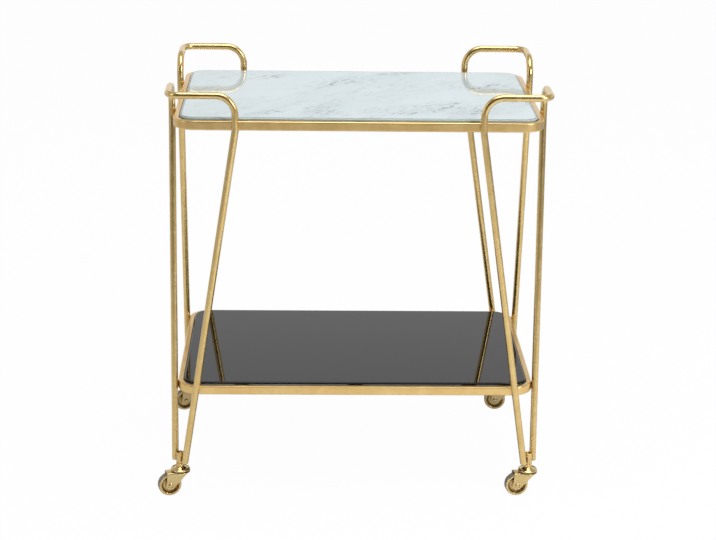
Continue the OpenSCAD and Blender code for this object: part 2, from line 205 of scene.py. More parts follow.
def softened(corners, radii, count):
    """A closed outline with its corners rounded: an arc tangent to both sides replaces each
    corner whose radius isn't 0."""
    corners = np.asarray(corners, float)
    radii = np.broadcast_to(np.asarray(radii, float), len(corners))
    before, after = np.roll(corners, 1, 0) - corners, np.roll(corners, -1, 0) - corners
    before /= np.linalg.norm(before, axis=1)[:, None]
    after /= np.linalg.norm(after, axis=1)[:, None]
    out = []
    for corner, a, b, radius in zip(corners, before, after, radii):
        if radius <= 0:
            out.append(corner[None])
            continue
        half = np.arccos(np.clip(a @ b, -1, 1)) / 2
        middle = corner + (a + b) / np.linalg.norm(a + b) * radius / np.sin(half)
        first = corner + a * radius / np.tan(half) - middle
        last = corner + b * radius / np.tan(half) - middle
        swing = np.arctan2(first[0] * last[1] - first[1] * last[0], first @ last)
        turn = np.linspace(0, swing, count)
        c, s = np.cos(turn)[:, None], np.sin(turn)[:, None]
        out.append(middle + first * c + np.array([-first[1], first[0]]) * s)
    return np.concatenate(out)


def held(outline, keep=0.35, over=3.0):
    """Adds a point near each end of every long side, so smooth shading leaves the side flat."""
    after = np.roll(outline, -1, 0)
    out = []
    for a, b in zip(outline, after):
        way = b - a
        length = np.linalg.norm(way)
        out.append(a[None])
        if length > over:
            out.append(np.stack([a + way * keep / length, b - way * keep / length]))
    return np.concatenate(out)


def distance_along(points):
    """The distance from the first point to each point: the running sum of the steps' lengths."""
    return np.concatenate([[0], np.cumsum(np.linalg.norm(np.diff(points, axis=0), axis=1))])


def circle_angles(count):
    """Equal angles round a full turn, the last one step short of the first."""
    return np.linspace(0, 2 * np.pi, count, endpoint=False)


def turned(profile, centre, axis=(0, 0, 1), count=48):
    """A profile of (radius, height) carried round an axis:
    centre + radius (cos a side + sin a other side) + height along the axis."""
    axis = np.asarray(axis, float) / np.linalg.norm(axis)
    side = np.cross(axis, (0, 0, 1.0) if abs(axis[2]) < 0.9 else (1.0, 0, 0))
    side /= np.linalg.norm(side)
    other = np.cross(axis, side)
    angle = circle_angles(count)
    radius, height = profile[:, 0][None, :, None], profile[:, 1][None, :, None]
    spoke = np.cos(angle)[:, None, None] * side + np.sin(angle)[:, None, None] * other
    points = np.asarray(centre, float) + radius * spoke + height * axis
    mean_radius = 10.0
    marks = [angle[:, None] * mean_radius, distance_along(profile)[None, :]]
    return points, np.stack(np.broadcast_arrays(*marks), -1)


def turned_shell(profile, centre, axis=(0, 0, 1), count=48, shell=None, solid=False):
    """A closed turned piece. The profile runs anticlockwise with its axis on the left, and from
    pole to pole if solid."""
    shell = shell or Shell()
    points, marks = turned(profile, centre, axis, count)
    return shell.grid(points, round_rows=True, round_columns=not solid, marks=marks)


def turned_about(vectors, axis, angle):
    """Vectors turned about a unit axis: the part along the axis stays, the rest goes round by
    cosine and sine."""
    c, s = np.cos(angle)[:, None], np.sin(angle)[:, None]
    return vectors * c + np.cross(axis, vectors) * s + axis * (vectors @ axis) * (1 - c)


def bent_path(corners, radii, degrees_a_step=5.0):
    """A path of straight runs joined by arcs: its points, directions, a side vector that never
    twists, and the distance along it."""
    corners, radii = np.asarray(corners, float), np.asarray(radii, float)
    runs = np.diff(corners, axis=0)
    runs /= np.linalg.norm(runs, axis=1)[:, None]
    hinge = np.cross(runs[:-1], runs[1:])
    angle = np.arctan2(np.linalg.norm(hinge, axis=1), np.sum(runs[:-1] * runs[1:], axis=1))
    hinge /= np.linalg.norm(hinge, axis=1)[:, None]
    cut = radii * np.tan(angle / 2)
    side = np.cross(runs[0], hinge[0])
    places, ways, sides = [corners[:1]], [runs[:1]], [side[None]]
    for i in range(len(radii)):
        steps = max(3, int(np.degrees(angle[i]) / degrees_a_step) + 2)
        bend = np.linspace(0, angle[i], steps)
        start = corners[i + 1] - runs[i] * cut[i]
        middle = start + np.cross(hinge[i], runs[i]) * radii[i]
        places.append(middle + turned_about(start - middle, hinge[i], bend))
        ways.append(turned_about(runs[i], hinge[i], bend))
        sides.append(turned_about(side, hinge[i], bend))
        side = sides[-1][-1]
    places = np.concatenate(places + [corners[-1:]])
    ways = np.concatenate(ways + [runs[-1:]])
    sides = np.concatenate(sides + [side[None]])
    return places, ways, sides, distance_along(places)


def tube_rings(path, radius, count=32):
    """Rings round a path: place + radius (cos a side + sin a other side), for a full turn of a."""
    places, ways, sides, along = path
    other = np.cross(ways, sides)
    angle = circle_angles(count)
    ring = (np.cos(angle)[None, :, None] * sides[:, None]
            + np.sin(angle)[None, :, None] * other[:, None])
    marks = np.stack(np.broadcast_arrays(angle[None, :] * radius, along[:, None]), -1)
    return places[:, None] + radius * ring, marks


def cut_level(ring, way, height):
    """Slides a ring's points along the tube's direction until all lie at one height."""
    return ring + way * ((height - ring[..., 2]) / way[2])[..., None]


def bent_tube(path, radius, wall, end_height, chamfer=0.35):
    """A hollow tube with both ends cut level at one height, all one closed skin: outside,
    chamfered rim and bore."""
    ways = path[1]
    outer, marks = tube_rings(path, radius)
    rim, _ = tube_rings(path, radius - chamfer)
    bore, _ = tube_rings(path, radius - wall)
    rims = []
    for end in (0, -1):
        outer[end] = cut_level(outer[end], ways[end], end_height + chamfer)
        bore[end] = cut_level(bore[end], ways[end], end_height)
        rims.append(cut_level(rim[end], ways[end], end_height)[None])
    rows = np.concatenate([rims[0], outer, rims[1], bore[::-1]])
    flag = np.concatenate([marks[:1], marks, marks[-1:], marks[::-1]])
    return Shell().grid(rows, round_rows=True, round_columns=True, flip=True, marks=flag)


def tray_outline(width, depth, radius, arc_count=25):
    """A rectangle with round corners, anticlockwise from above: its points, its outward normals
    and the distance round it."""
    a, b = width / 2 - radius, depth / 2 - radius
    turn = np.radians(np.linspace(0, 90, arc_count))
    points, normals = [], []
    for k, (sx, sy) in enumerate(((1, 1), (-1, 1), (-1, -1), (1, -1))):
        angle = turn + k * np.pi / 2
        normal = np.stack([np.cos(angle), np.sin(angle), np.zeros_like(angle)], -1)
        points.append(np.array([sx * a, sy * b, 0]) + radius * normal)
        normals.append(normal)
    points, normals = np.concatenate(points), np.concatenate(normals)
    return points, normals, distance_along(points)


def carried_round(outline, profile, top):
    """A profile of (outward, up) carried round an outline at a height: point + outward times
    its normal + up + height."""
    points, normals, along = outline
    out, up = profile[:, 0][None, :, None], profile[:, 1][None, :, None]
    upright = np.array([0, 0, 1.0])
    marks = np.stack(np.broadcast_arrays(distance_along(profile)[None, :], along[:, None]), -1)
    return points[:, None] + out * normals[:, None] + (up + top) * upright, marks


def rope(start, end, radius, shell, ripple=0.10, count=12, steps=41):
    """A weld bead: a rope from one point to another, rounded off at both ends. Its radius swells
    and sinks by the ripple with the absolute sine of the distance, one puddle each 1.1 radii."""
    start, end = np.asarray(start, float), np.asarray(end, float)
    length = np.linalg.norm(end - start)
    way = (end - start) / length
    side = np.cross(way, (1.0, 0.3, 0.2))
    side /= np.linalg.norm(side)
    other = np.cross(way, side)
    place = np.linspace(0, 1, steps) * length
    to_end = np.minimum(place, length - place)
    smallest = 0.02
    cap = np.sqrt(np.clip(1 - np.clip(1 - to_end / radius, 0, 1) ** 2, smallest ** 2, 1))
    puddle = np.abs(np.sin(place * np.pi / (1.1 * radius)))
    size = radius * cap * (1 + ripple * puddle - ripple / 2)
    angle = circle_angles(count)
    ring = np.cos(angle)[None, :, None] * side + np.sin(angle)[None, :, None] * other
    points = start + place[:, None, None] * way + size[:, None, None] * ring
    shell.grid(points, round_columns=True, flip=True)
    shell.lid(points[0], flip=True)
    shell.lid(points[-1])


# ---- materials: sums on sockets, and one method for every other node ---------

class Value:
    """A number that varies over a surface. Each operator between values adds its Math node."""

    def __init__(self, board, socket):
        self.board, self.socket = board, socket

    def _math(self, operation, *others):
        sockets = dict(enumerate((self, *others)))
        node = self.board.add("ShaderNodeMath", {"operation": operation}, sockets)
        return Value(self.board, node.outputs[0])

    def __add__(self, other): return self._math("ADD", other)
    def __sub__(self, other): return self._math("SUBTRACT", other)
    def __mul__(self, other): return self._math("MULTIPLY", other)
    def __truediv__(self, other): return self._math("DIVIDE", other)
    def __pow__(self, other): return self._math("POWER", other)
    __radd__, __rmul__ = __add__, __mul__
    def __rsub__(self, other): return self._math("MULTIPLY_ADD", -1.0, other)
    def __abs__(self): return self._math("ABSOLUTE")
    def least(self, other): return self._math("MINIMUM", other)
    def most(self, other): return self._math("MAXIMUM", other)
    def clear(self): return self.most(0.0).least(1.0)

    def ramp(self, low, high):
        """0 at low, 1 at high and a smooth change between."""
        node = self.board.add("ShaderNodeMapRange", {"interpolation_type": "SMOOTHSTEP"},
                              {"Value": self, "From Min": low, "From Max": high})
        return Value(self.board, node.outputs[0])


class Board:
    """One material's nodes, or a world's."""

    def __init__(self, name, tree=None):
        if tree is None:
            self.material = bpy.data.materials.new(name)
            self.material.use_nodes = True
            tree = self.material.node_tree
        self.tree = tree
        self.tree.nodes.clear()

    def add(self, kind, settings=None, sockets=None):
        """Adds a node of a type, sets its settings, then its sockets to values or links."""
        node = self.tree.nodes.new(kind)
        for name, value in (settings or {}).items():
            setattr(node, name, value)
        for name, value in (sockets or {}).items():
            if isinstance(value, Value):
                value = value.socket
            if isinstance(value, bpy.types.NodeSocket):
                self.tree.links.new(value, node.inputs[name])
            else:
                node.inputs[name].default_value = value
        return node

    def place(self, turn=(0, 0, 0), scale=(1, 1, 1), source="Object"):
        """The piece's own coordinates, turned and scaled."""
        where = self.add("ShaderNodeTexCoord").outputs[source]
        sockets = {"Vector": where, "Rotation": turn, "Scale": scale}
        return self.add("ShaderNodeMapping", {}, sockets).outputs[0]

    def slanted(self, angle, scale):
        """The piece's own coordinates with an axis at this angle from its X, then scaled along
        and across it."""
        where = self.place(turn=(0, 0, -angle))
        return self.add("ShaderNodeMapping", {}, {"Vector": where, "Scale": scale}).outputs[0]

    def oval(self, x, y, angle, long, wide):
        """1 inside an oval and a smooth fall to 0 outside: a ramp of the root of the squares of
        place over half size."""
        c, s = math.cos(angle), math.sin(angle)
        along, across = (x * c + y * s) / long, (y * c - x * s) / wide
        return ((along * along + across * across) ** 0.5).ramp(1.5, 0.35)

    def noise(self, where, scale, detail=2.0, rough=0.5, warp=0.0):
        """Fractal noise between 0 and 1."""
        sockets = {"Vector": where, "Scale": scale, "Detail": detail, "Roughness": rough,
                   "Distortion": warp}
        return Value(self, self.add("ShaderNodeTexNoise", {}, sockets).outputs[0])

    def split(self, vector):
        """A vector's three values."""
        node = self.add("ShaderNodeSeparateXYZ", {}, {0: vector})
        return [Value(self, socket) for socket in node.outputs]

    def blend(self, factor, first, second):
        """One colour over another by a factor."""
        return self.add("ShaderNodeMix", {"data_type": "RGBA"},
                        {0: factor, 6: first, 7: second}).outputs[2]

    def bump(self, height, strength, distance, under=None):
        """A normal tipped by a height, over another bump if there is one."""
        sockets = {"Height": height, "Strength": strength, "Distance": distance}
        if under is not None:
            sockets["Normal"] = under
        return self.add("ShaderNodeBump", {}, sockets).outputs[0]

    def ray(self, kind):
        """1 for light paths of a kind, otherwise 0."""
        return Value(self, self.add("ShaderNodeLightPath").outputs["Is " + kind + " Ray"])

    def surface(self, **sockets):
        """The shader, with each socket given by its name in words joined by underscores."""
        named = {name.replace("_", " ").title().replace("Ior", "IOR"): value
                 for name, value in sockets.items()}
        shader = self.add("ShaderNodeBsdfPrincipled", {}, named)
        self.add("ShaderNodeOutputMaterial", {}, {"Surface": shader.outputs[0]})
        return self.material


def linear(red, green, blue):
    """A colour as seen on screen (0 to 255) as the light it stands for."""
    seen = np.array([red, green, blue]) / 255
    light = np.where(seen <= 0.04045, seen / 12.92, ((seen + 0.055) / 1.055) ** 2.4)
    return (*light.tolist(), 1.0)


def brass_plating(name, bright, deep, rough, drawn=True, hollow=False):
    """Lacquered brass plating: fine drawn lines along the piece, cloudy from buffing, with a few
    small dull specks. A wheel's marks are its radius and distance from its middle plane, and its
    dish gets painted shade: darker and browner in the hollow between hub and rim, and duller."""
    board = Board(name)
    cloud = board.noise(board.place(), 38.0, 3.0, 0.55, 0.3)
    speck = board.noise(board.place(), 620.0, 2.0, 0.6).ramp(0.70, 0.80)
    colour = board.blend(cloud.ramp(0.3, 0.72), linear(*deep), linear(*bright))
    colour = board.blend(speck * 0.25, colour, linear(*(0.75 * np.array(deep))))
    dull = speck * 0.15
    if hollow:
        # painted shade: the wheel's dish between hub and rim is darkened and browned where shade
        # falls in the hollow, and made duller
        radius, height, _ = board.split(board.place(source="UV"))
        dish = abs(height).ramp(6.6 * MM, 3.0 * MM)
        dish = dish * radius.ramp((HUB_R + 0.5) * MM, (HUB_R + 4.5) * MM)
        dish = dish * radius.ramp((DISH_R + 0.4) * MM, (DISH_R - 0.4) * MM)
        colour = board.blend(dish * 0.75, colour, linear(112, 84, 44))
        dull = dull + dish * 0.12
    if drawn:
        lines = board.noise(board.place(scale=(1800, 30, 1), source="UV"), 1.0, 3.0, 0.6)
    else:
        lines = board.noise(board.place(scale=(1, 1, 7)), 500.0, 3.0, 0.6)
    wave = board.noise(board.place(), 130.0, 2.0, 0.5)
    relief = board.bump(lines, 0.03, 0.0002, board.bump(wave, 0.02, 0.0004))
    return board.surface(base_color=colour, metallic=1.0,
                         roughness=rough + (cloud - 0.5) * 0.10 + dull,
                         coat_weight=0.5, coat_roughness=0.15, normal=relief)


def weld_metal():
    """Plated weld beads: duller and warmer than the tube, with a brown heat tint in places."""
    board = Board("plated_weld")
    heat = board.noise(board.place(), 260.0, 3.0, 0.6)
    grain = board.noise(board.place(), 1500.0, 2.0, 0.5)
    colour = board.blend(heat.ramp(0.35, 0.7), linear(150, 108, 66), linear(196, 160, 104))
    return board.surface(base_color=colour, metallic=1.0, roughness=0.34 + heat * 0.22,
                         normal=board.bump(grain, 0.3, 0.0003))


VEIN_PATCHES = (  # centre x and y, direction in degrees, half length and half width, in millimetres
    (-62, -118, 76, 74, 26), (-40, 92, 38, 78, 24), (122, -112, 30, 98, 32), (196, -118, 20, 52, 36),
    (252, 66, 22, 62, 22), (-168, 128, 30, 52, 16), (76, 168, 22, 56, 12), (-164, -150, 34, 44, 14))
PANE_BAND = 8.0  # the flat band of a pane's profile before its round edge, where its marks start


def line_of(noise, thin):
    """1 where a noise crosses a half, falling to 0 on both sides: the thinner, the steeper."""
    return (1.0 - abs(noise - 0.5) * thin).clear()


def marble_pane():
    """Pale bluish marble under gloss glass: short broken strokes lying in a few slanting patches,
    thin seams, and faint clouds, with a greener edge and a painted shade line round it, dark along
    the rounded edge where the bent glass looks dark."""
    board = Board("marble_pane")
    x, y, z = board.split(board.place())
    patch = None
    for cx, cy, degrees, long, wide in VEIN_PATCHES:
        oval = board.oval(x - cx * MM, y - cy * MM, math.radians(degrees), long * MM, wide * MM)
        patch = oval if patch is None else patch.most(oval)
    cloud = board.noise(board.slanted(0.9, (3.5, 8.0, 1)), 1.0, 4.0, 0.6, 0.6)
    fine = board.noise(board.place(), 55.0, 4.0, 0.62, 0.4)
    crumb = board.noise(board.slanted(0.8, (90.0, 150.0, 1)), 1.0, 3.0, 0.6)
    stroke = board.noise(board.slanted(0.85, (12.0, 42.0, 1)), 1.0, 5.0, 0.7, 0.5)
    twig = board.noise(board.slanted(0.55, (18.0, 80.0, 1)), 1.0, 5.0, 0.7, 0.7)
    seam = board.noise(board.slanted(0.8, (2.4, 9.0, 1)), 1.0, 5.0, 0.65, 0.8)
    broken = board.noise(board.slanted(0.75, (26.0, 56.0, 1)), 1.0, 3.0, 0.55)
    lines = line_of(stroke, 13.0) * broken.ramp(0.49, 0.56)
    twigs = line_of(twig, 11.0) * broken.ramp(0.51, 0.42)
    veins = line_of(seam, 26.0) * broken.ramp(0.36, 0.56) * 0.22
    grit = 0.3 + crumb.ramp(0.42, 0.6) * 0.9
    in_patch = patch * (lines * 1.25 + twigs * 0.7)
    dark = ((in_patch + lines * fine.ramp(0.5, 0.64) * 0.3 + veins) * grit).clear()
    colour = board.blend(cloud.ramp(0.35, 0.7), linear(194, 208, 209), linear(202, 215, 217))
    colour = board.blend(patch * fine.ramp(0.4, 0.62) * 0.16, colour, linear(178, 192, 195))
    colour = board.blend(dark * 0.75, colour, linear(96, 108, 114))
    glass_top = TOP_Z + GLASS_PROUD
    edge = z.ramp((glass_top - 0.4) * MM, (glass_top - 1.5) * MM)
    # painted shade: a dark line along the pane's rounded edge, where the bent glass looks dark
    out, _, _ = board.split(board.place(source="UV"))
    painted_edge_shade = out.ramp((PANE_BAND - 2.4) * MM, (PANE_BAND - 0.8) * MM)
    painted_edge_shade = painted_edge_shade * out.ramp((PANE_BAND + 2.4) * MM, (PANE_BAND + 1.4) * MM)
    colour = board.blend(edge * 0.8, colour, linear(176, 192, 184))
    colour = board.blend(painted_edge_shade * 0.65, colour, linear(84, 98, 92))
    return board.surface(base_color=colour, roughness=0.045 + fine * 0.02, ior=1.5)


def black_pane():
    """Back-painted black gloss glass: near black, with a few dust specks in the gloss."""
    board = Board("black_pane")
    dust = board.noise(board.place(), 1700.0, 1.0, 0.4).ramp(0.74, 0.82)
    haze = board.noise(board.place(), 9.0, 3.0, 0.5, 0.4)
    colour = board.blend(dust * 0.3, linear(12, 12, 13), linear(70, 70, 72))
    return board.surface(base_color=colour, roughness=0.018 + haze * 0.02 + dust * 0.12, ior=1.48)


def rubber(name, deep, dusty):
    """Rubber: matt, grained by its mould, a little dusty."""
    board = Board(name)
    dust = board.noise(board.place(), 190.0, 4.0, 0.6)
    grain = board.noise(board.place(), 1800.0, 2.0, 0.6)
    colour = board.blend(dust.ramp(0.35, 0.7), linear(*deep), linear(*dusty))
    return board.surface(base_color=colour, roughness=0.5 + dust * 0.2,
                         normal=board.bump(grain, 0.25, 0.0002))


def plain_cloudy(name, scale, first, second, rough, rougher, metallic=0.0):
    """A plain finish whose colour and roughness drift a little over the surface."""
    board = Board(name)
    cloud = board.noise(board.place(), scale, 2.0, 0.5)
    colour = board.blend(cloud, linear(*first), linear(*second))
    return board.surface(base_color=colour, metallic=metallic, roughness=rough + cloud * rougher)


# painted light: the caster brass is paler than the tube's brass, standing in for the bright floor
# reflected in the wheels' flange rings
CASTER_BRIGHT, CASTER_DEEP, CASTER_ROUGH = (234, 208, 150), (222, 194, 132), 0.24
tube_brass = brass_plating("drawn_brass_tube", (234, 203, 137), (224, 191, 120), 0.27)
# painted light: the frame brass is a little lighter than the tube's brass, for the brighter look of
# the frame bands under the lamps
frame_brass = brass_plating("brass_frame", (243, 207, 138), (233, 195, 122), 0.32)
caster_brass = brass_plating("brass_caster", CASTER_BRIGHT, CASTER_DEEP, CASTER_ROUGH, drawn=False)
wheel_brass = brass_plating("brass_wheel", CASTER_BRIGHT, CASTER_DEEP, CASTER_ROUGH, drawn=False,
                            hollow=True)
weld_brass, marble, black_glass = weld_metal(), marble_pane(), black_pane()
tread = rubber("grey_tread", (126, 121, 111), (150, 145, 134))
# painted shade: the dark seal strip under each pane also stands in for the shade in the gap to the
# frame
gap_shade_rubber = rubber("gap_shade_rubber", (44, 40, 34), (62, 57, 49))
steel = plain_cloudy("ground_steel", 300.0, (176, 176, 180), (205, 205, 208), 0.16, 0.1, 1.0)
bumper = plain_cloudy("clear_bumper", 240.0, (206, 208, 204), (228, 229, 226), 0.35, 0.15)


# ---- trays -------------------------------------------------------------------

def tray_frame(name, top):
    """The frame tube: a rounded section with its own bore, carried round the tray's outline."""
    outline = tray_outline(TRAY_W, TRAY_D, CORNER_R)
    shell = Shell()
    for wall, radius, count, bore in ((0.0, FRAME_EDGE, 7, False), (FRAME_WALL, 0.5, 3, True)):
        near, far, low = -wall, wall - FRAME_T, wall - FRAME_H
        section = softened([(near, -wall), (far, -wall), (far, low), (near, low)], radius, count)
        points, marks = carried_round(outline, section if bore else held(section), top)
        shell.grid(points, round_rows=True, round_columns=True, flip=bore, marks=marks)
    return shell.piece(name + "_tube", frame_brass, ROOT, [name], "plated_metal")


def pane(name, top, material, slot):
    """A glass pane: a half-round edge carried round its outline between two flat faces."""
    inset = FRAME_T + GLASS_GAP
    outline = tray_outline(TRAY_W - 2 * inset, TRAY_D - 2 * inset, CORNER_R - inset)
    half, hold = GLASS_T / 2, 0.25
    band, near = -half - PANE_BAND, -half - hold
    profile = np.concatenate([[(band, 0), (near, 0)], arc((-half, -half), half, 90, -90, 13),
                              [(near, -GLASS_T), (band, -GLASS_T)]])
    points, marks = carried_round(outline, profile, top + GLASS_PROUD)
    shell = Shell()
    shell.grid(points, round_rows=True, flip=True, marks=marks)
    shell.lid(points[:, 0])
    shell.lid(points[:, -1], flip=True)
    return shell.piece(name + "_pane", material, ROOT, [name], slot)


def shade_seal(name, top):
    """A thin dark strip under a pane's rim, which closes the gap to the frame: a seal that also
    stands in for the shade in that gap, as painted shade.
    """
    play, reach, thick, sink = 0.05, 2.9, 1.18, 0.02
    near, far = -FRAME_T - play, -FRAME_T - reach
    high = GLASS_PROUD - GLASS_T - sink
    low = high - thick
    section = softened([(near, high), (far, high), (far, low), (near, low)], 0.3, 3)
    points, marks = carried_round(tray_outline(TRAY_W, TRAY_D, CORNER_R), section, top)
    shell = Shell().grid(points, round_rows=True, round_columns=True, marks=marks)
    return shell.piece(name + "_seal", gap_shade_rubber, ROOT, slot="tyre_rubber")


shade_seal("marble_top", TOP_Z)
shade_seal("black_glass_shelf", SHELF_Z)
tray_frame("top_frame", TOP_Z)
tray_frame("shelf_frame", SHELF_Z)
pane("marble_top", TOP_Z, marble, "marble_glass")
pane("black_glass_shelf", SHELF_Z, black_glass, "black_glass")


# ---- hoops -------------------------------------------------------------------

def leg_line(sx, sy):
    """Each leg's lean point and foot: the side leg's pair, then the long side's pair."""
    side = (np.array([sx * RAIL_X, sy * (RAIL_Y - SIDE_ARM), LEAN_Z]),
            np.array([sx * RAIL_X, sy * (SOCKET_Y - FOOT_STEP), LEG_END_Z]))
    long = (np.array([sx * (RAIL_X - LONG_ARM), sy * RAIL_Y, LEAN_Z]),
            np.array([sx * (SOCKET_X - FOOT_STEP), sy * RAIL_Y, LEG_END_Z]))
    return side, long


def hoop(corner, sx, sy):
    """One tube: up the side leg, over, round the tray corner, and down the other leg."""
    (side_lean, side_foot), (long_lean, long_foot) = leg_line(sx, sy)
    corners = [side_foot, side_lean, (*side_lean[:2], RAIL_Z), (sx * RAIL_X, sy * RAIL_Y, RAIL_Z),
               (*long_lean[:2], RAIL_Z), long_lean, long_foot]
    path = bent_path(corners, [LEAN_R, LOOP_R, WRAP_R, LOOP_R, LEAN_R])
    shell = bent_tube(path, TUBE_R, TUBE_WALL, LEG_END_Z)
    return shell.piece(corner + "_hoop_tube", tube_brass, ROOT, [corner + "_hoop"], "plated_metal")


def leg_at(lean, foot, z):
    """The point of a leg's centre line at a height."""
    t = (z - lean[2]) / (foot[2] - lean[2])
    return lean + np.clip(t, 0, 1) * (foot - lean) + np.array([0, 0, max(z - lean[2], 0.0)])


FRAME_BEAD, FRAME_BEAD_ASIDE = 1.25, 4.0        # a bead's radius, and how far it lies from the
SOCKET_BEAD, SOCKET_BEAD_ASIDE = 1.2, 3.6       # middle of the seam
SOCKET_BEAD_RUN = ((1.1, 6.7), (10.9, 7.2))     # height over the leg's end, and distance out


def welds(corner, sx, sy):
    """Beads on both sides of each leg, where it lies against a frame and where its foot meets
    the socket."""
    shell = Shell()
    for (lean, foot), toward in zip(leg_line(sx, sy), ((-sx, 0, 0.0), (0, -sy, 0.0))):
        toward = np.array(toward)
        across = np.array([abs(toward[1]), abs(toward[0]), 0.0])
        for top, reach in ((TOP_Z, 5.3), (SHELF_Z, 5.2)):
            for s in (-1, 1):
                ends = [leg_at(lean, foot, z) + toward * reach + s * across * FRAME_BEAD_ASIDE
                        for z in (top - FRAME_H + 1.2, top - 1.4)]
                rope(*ends, FRAME_BEAD, shell)
        centre = np.array([sx * SOCKET_X, sy * SOCKET_Y, 0])
        level = LEG_END_Z + 1.9
        line = leg_at(lean, foot, level) - np.array([0, 0, level]) - centre
        line /= np.linalg.norm(line)
        across = np.array([-line[1], line[0], 0])
        for s in (-1, 1):
            ends = [centre + line * out + s * across * SOCKET_BEAD_ASIDE
                    + np.array([0, 0, LEG_END_Z + rise]) for rise, out in SOCKET_BEAD_RUN]
            rope(*ends, SOCKET_BEAD, shell)
    return shell.piece(corner + "_welds", weld_brass, ROOT, slot="plated_metal")


for corner, (sx, sy) in CORNERS.items():
    hoop(corner, sx, sy)
    welds(corner, sx, sy)


# ---- casters -----------------------------------------------------------------

def post(corner, centre):
    """The sleeve, the riveted king pin with its collar and stem, and the race cap."""
    socket_top = SOCKET_Z + SOCKET_H
    sleeve = softened([(SOCKET_BORE, SOCKET_Z), (SOCKET_R, SOCKET_Z), (SOCKET_R, socket_top),
                       (SOCKET_BORE, socket_top)], (0.3, 1.1, 0.7, 0.6), 4)
    turned_shell(held(sleeve), centre).piece(
        corner + "_sleeve", tube_brass, ROOT, [corner + "_socket"], "plated_metal")

    head_edge, foot_edge, collar_edge, neck = 0.9, 0.4, 0.8, 5.9
    head_z, collar_z = FORK_UNDER - 2.0 + head_edge, SOCKET_Z - 2.0
    slot_low, slot_high, slot_deep = SOCKET_Z + 3.5, SOCKET_Z + 14.5, 0.48
    stem_top, taper = SOCKET_Z + STEM_H, 1.2
    stem = np.concatenate([
        [(0, head_z - head_edge)],
        arc((5.1, head_z), head_edge, -90, 90, 7),
        [(PIN_R, head_z + head_edge), (PIN_R, BOSS_TOP), (COLLAR_R - foot_edge, BOSS_TOP)],
        arc((COLLAR_R - foot_edge, BOSS_TOP + foot_edge), foot_edge, -90, 0, 4),
        arc((COLLAR_R - collar_edge, collar_z), collar_edge, 0, 75, 5),
        [(neck, SOCKET_Z - 0.9), (neck, SOCKET_Z), (STEM_R, SOCKET_Z),
         (STEM_R, slot_low), (STEM_R - slot_deep, slot_low),
         (STEM_R - slot_deep, slot_high), (STEM_R, slot_high),
         (STEM_R, stem_top - taper), (STEM_R - taper, stem_top), (0, stem_top)]])
    turned_shell(stem, centre, solid=True).piece(
        corner + "_stem_pin", caster_brass, ROOT, [corner + "_stem"], "plated_metal", merge=0.001)

    bore, low, high = PIN_R + RUN_FIT, CAP_UNDER - 0.2, CAP_TOP + 0.8
    dish = softened([(CAP_R - CAP_RIM, low), (CAP_R, low), (CAP_R, high - 1.5), (CAP_R - 2.4, high),
                     (CAP_R - 2 * CAP_RIM, high), (CAP_R - 5.0, CAP_TOP),
                     (COLLAR_R + 0.6, BOSS_TOP - 0.6), (COLLAR_R, BOSS_TOP), (bore, BOSS_TOP)],
                    (0, 0.7, 0.6, 0.6, 0.6, 0.8, 0.6, 0.3, 0), 5)
    groove = arc((BALL_RING, BALL_Z), GROOVE_R, 90 + GROOVE_HALF, 90 - GROOVE_HALF, 7)
    cap = np.concatenate([[(bore, CAP_UNDER)], groove, held(dish, 0.25, 1.4)])
    turned_shell(cap, centre, count=64).piece(
        corner + "_race_dish", caster_brass, ROOT, [corner + "_race_cap"], "plated_metal")


def fork(corner, centre, axle, across, back):
    """The fork's round top with its ball groove, its folded sheet, and the axle rivet."""
    body = corner + "_caster"
    shell = Shell()
    bore, edge, half_t = PIN_R + RUN_FIT, FORK_TOP_R - FORK_T / 2, FORK_T / 2
    groove = arc((BALL_RING, BALL_Z), GROOVE_R, GROOVE_HALF - 90, -90 - GROOVE_HALF, 7)
    plate = np.concatenate([
        [(bore, FORK_UNDER), (edge - 0.6, FORK_UNDER)],
        arc((edge, FORK_UNDER + half_t), half_t, -90, 90, 9),
        [(edge - 0.6, FORK_TOP)], groove, [(bore, FORK_TOP)]])
    turned_shell(plate, centre, count=64, shell=shell)
    folded_sheet(shell, centre, -back, -across)
    shell.piece(corner + "_fork_sheet", caster_brass, body, [corner + "_fork"], "plated_metal")

    half, head_r, head_h = FORK_GAP / 2 + FORK_T, 4.8, 1.4
    head = np.concatenate([
        [(AXLE_R, half), (head_r, half), (head_r, half + 0.45)],
        arc((2.0, half - 1.7), 3.1, 20, 88, 7), [(1.6, half + head_h), (0, half + head_h)]])
    rivet = np.concatenate([head[::-1] * (1, -1), head])
    turned_shell(rivet, axle, across, 32, solid=True).piece(
        corner + "_axle_rivet", caster_brass, body, [corner + "_axle"], "plated_metal", merge=0.001)


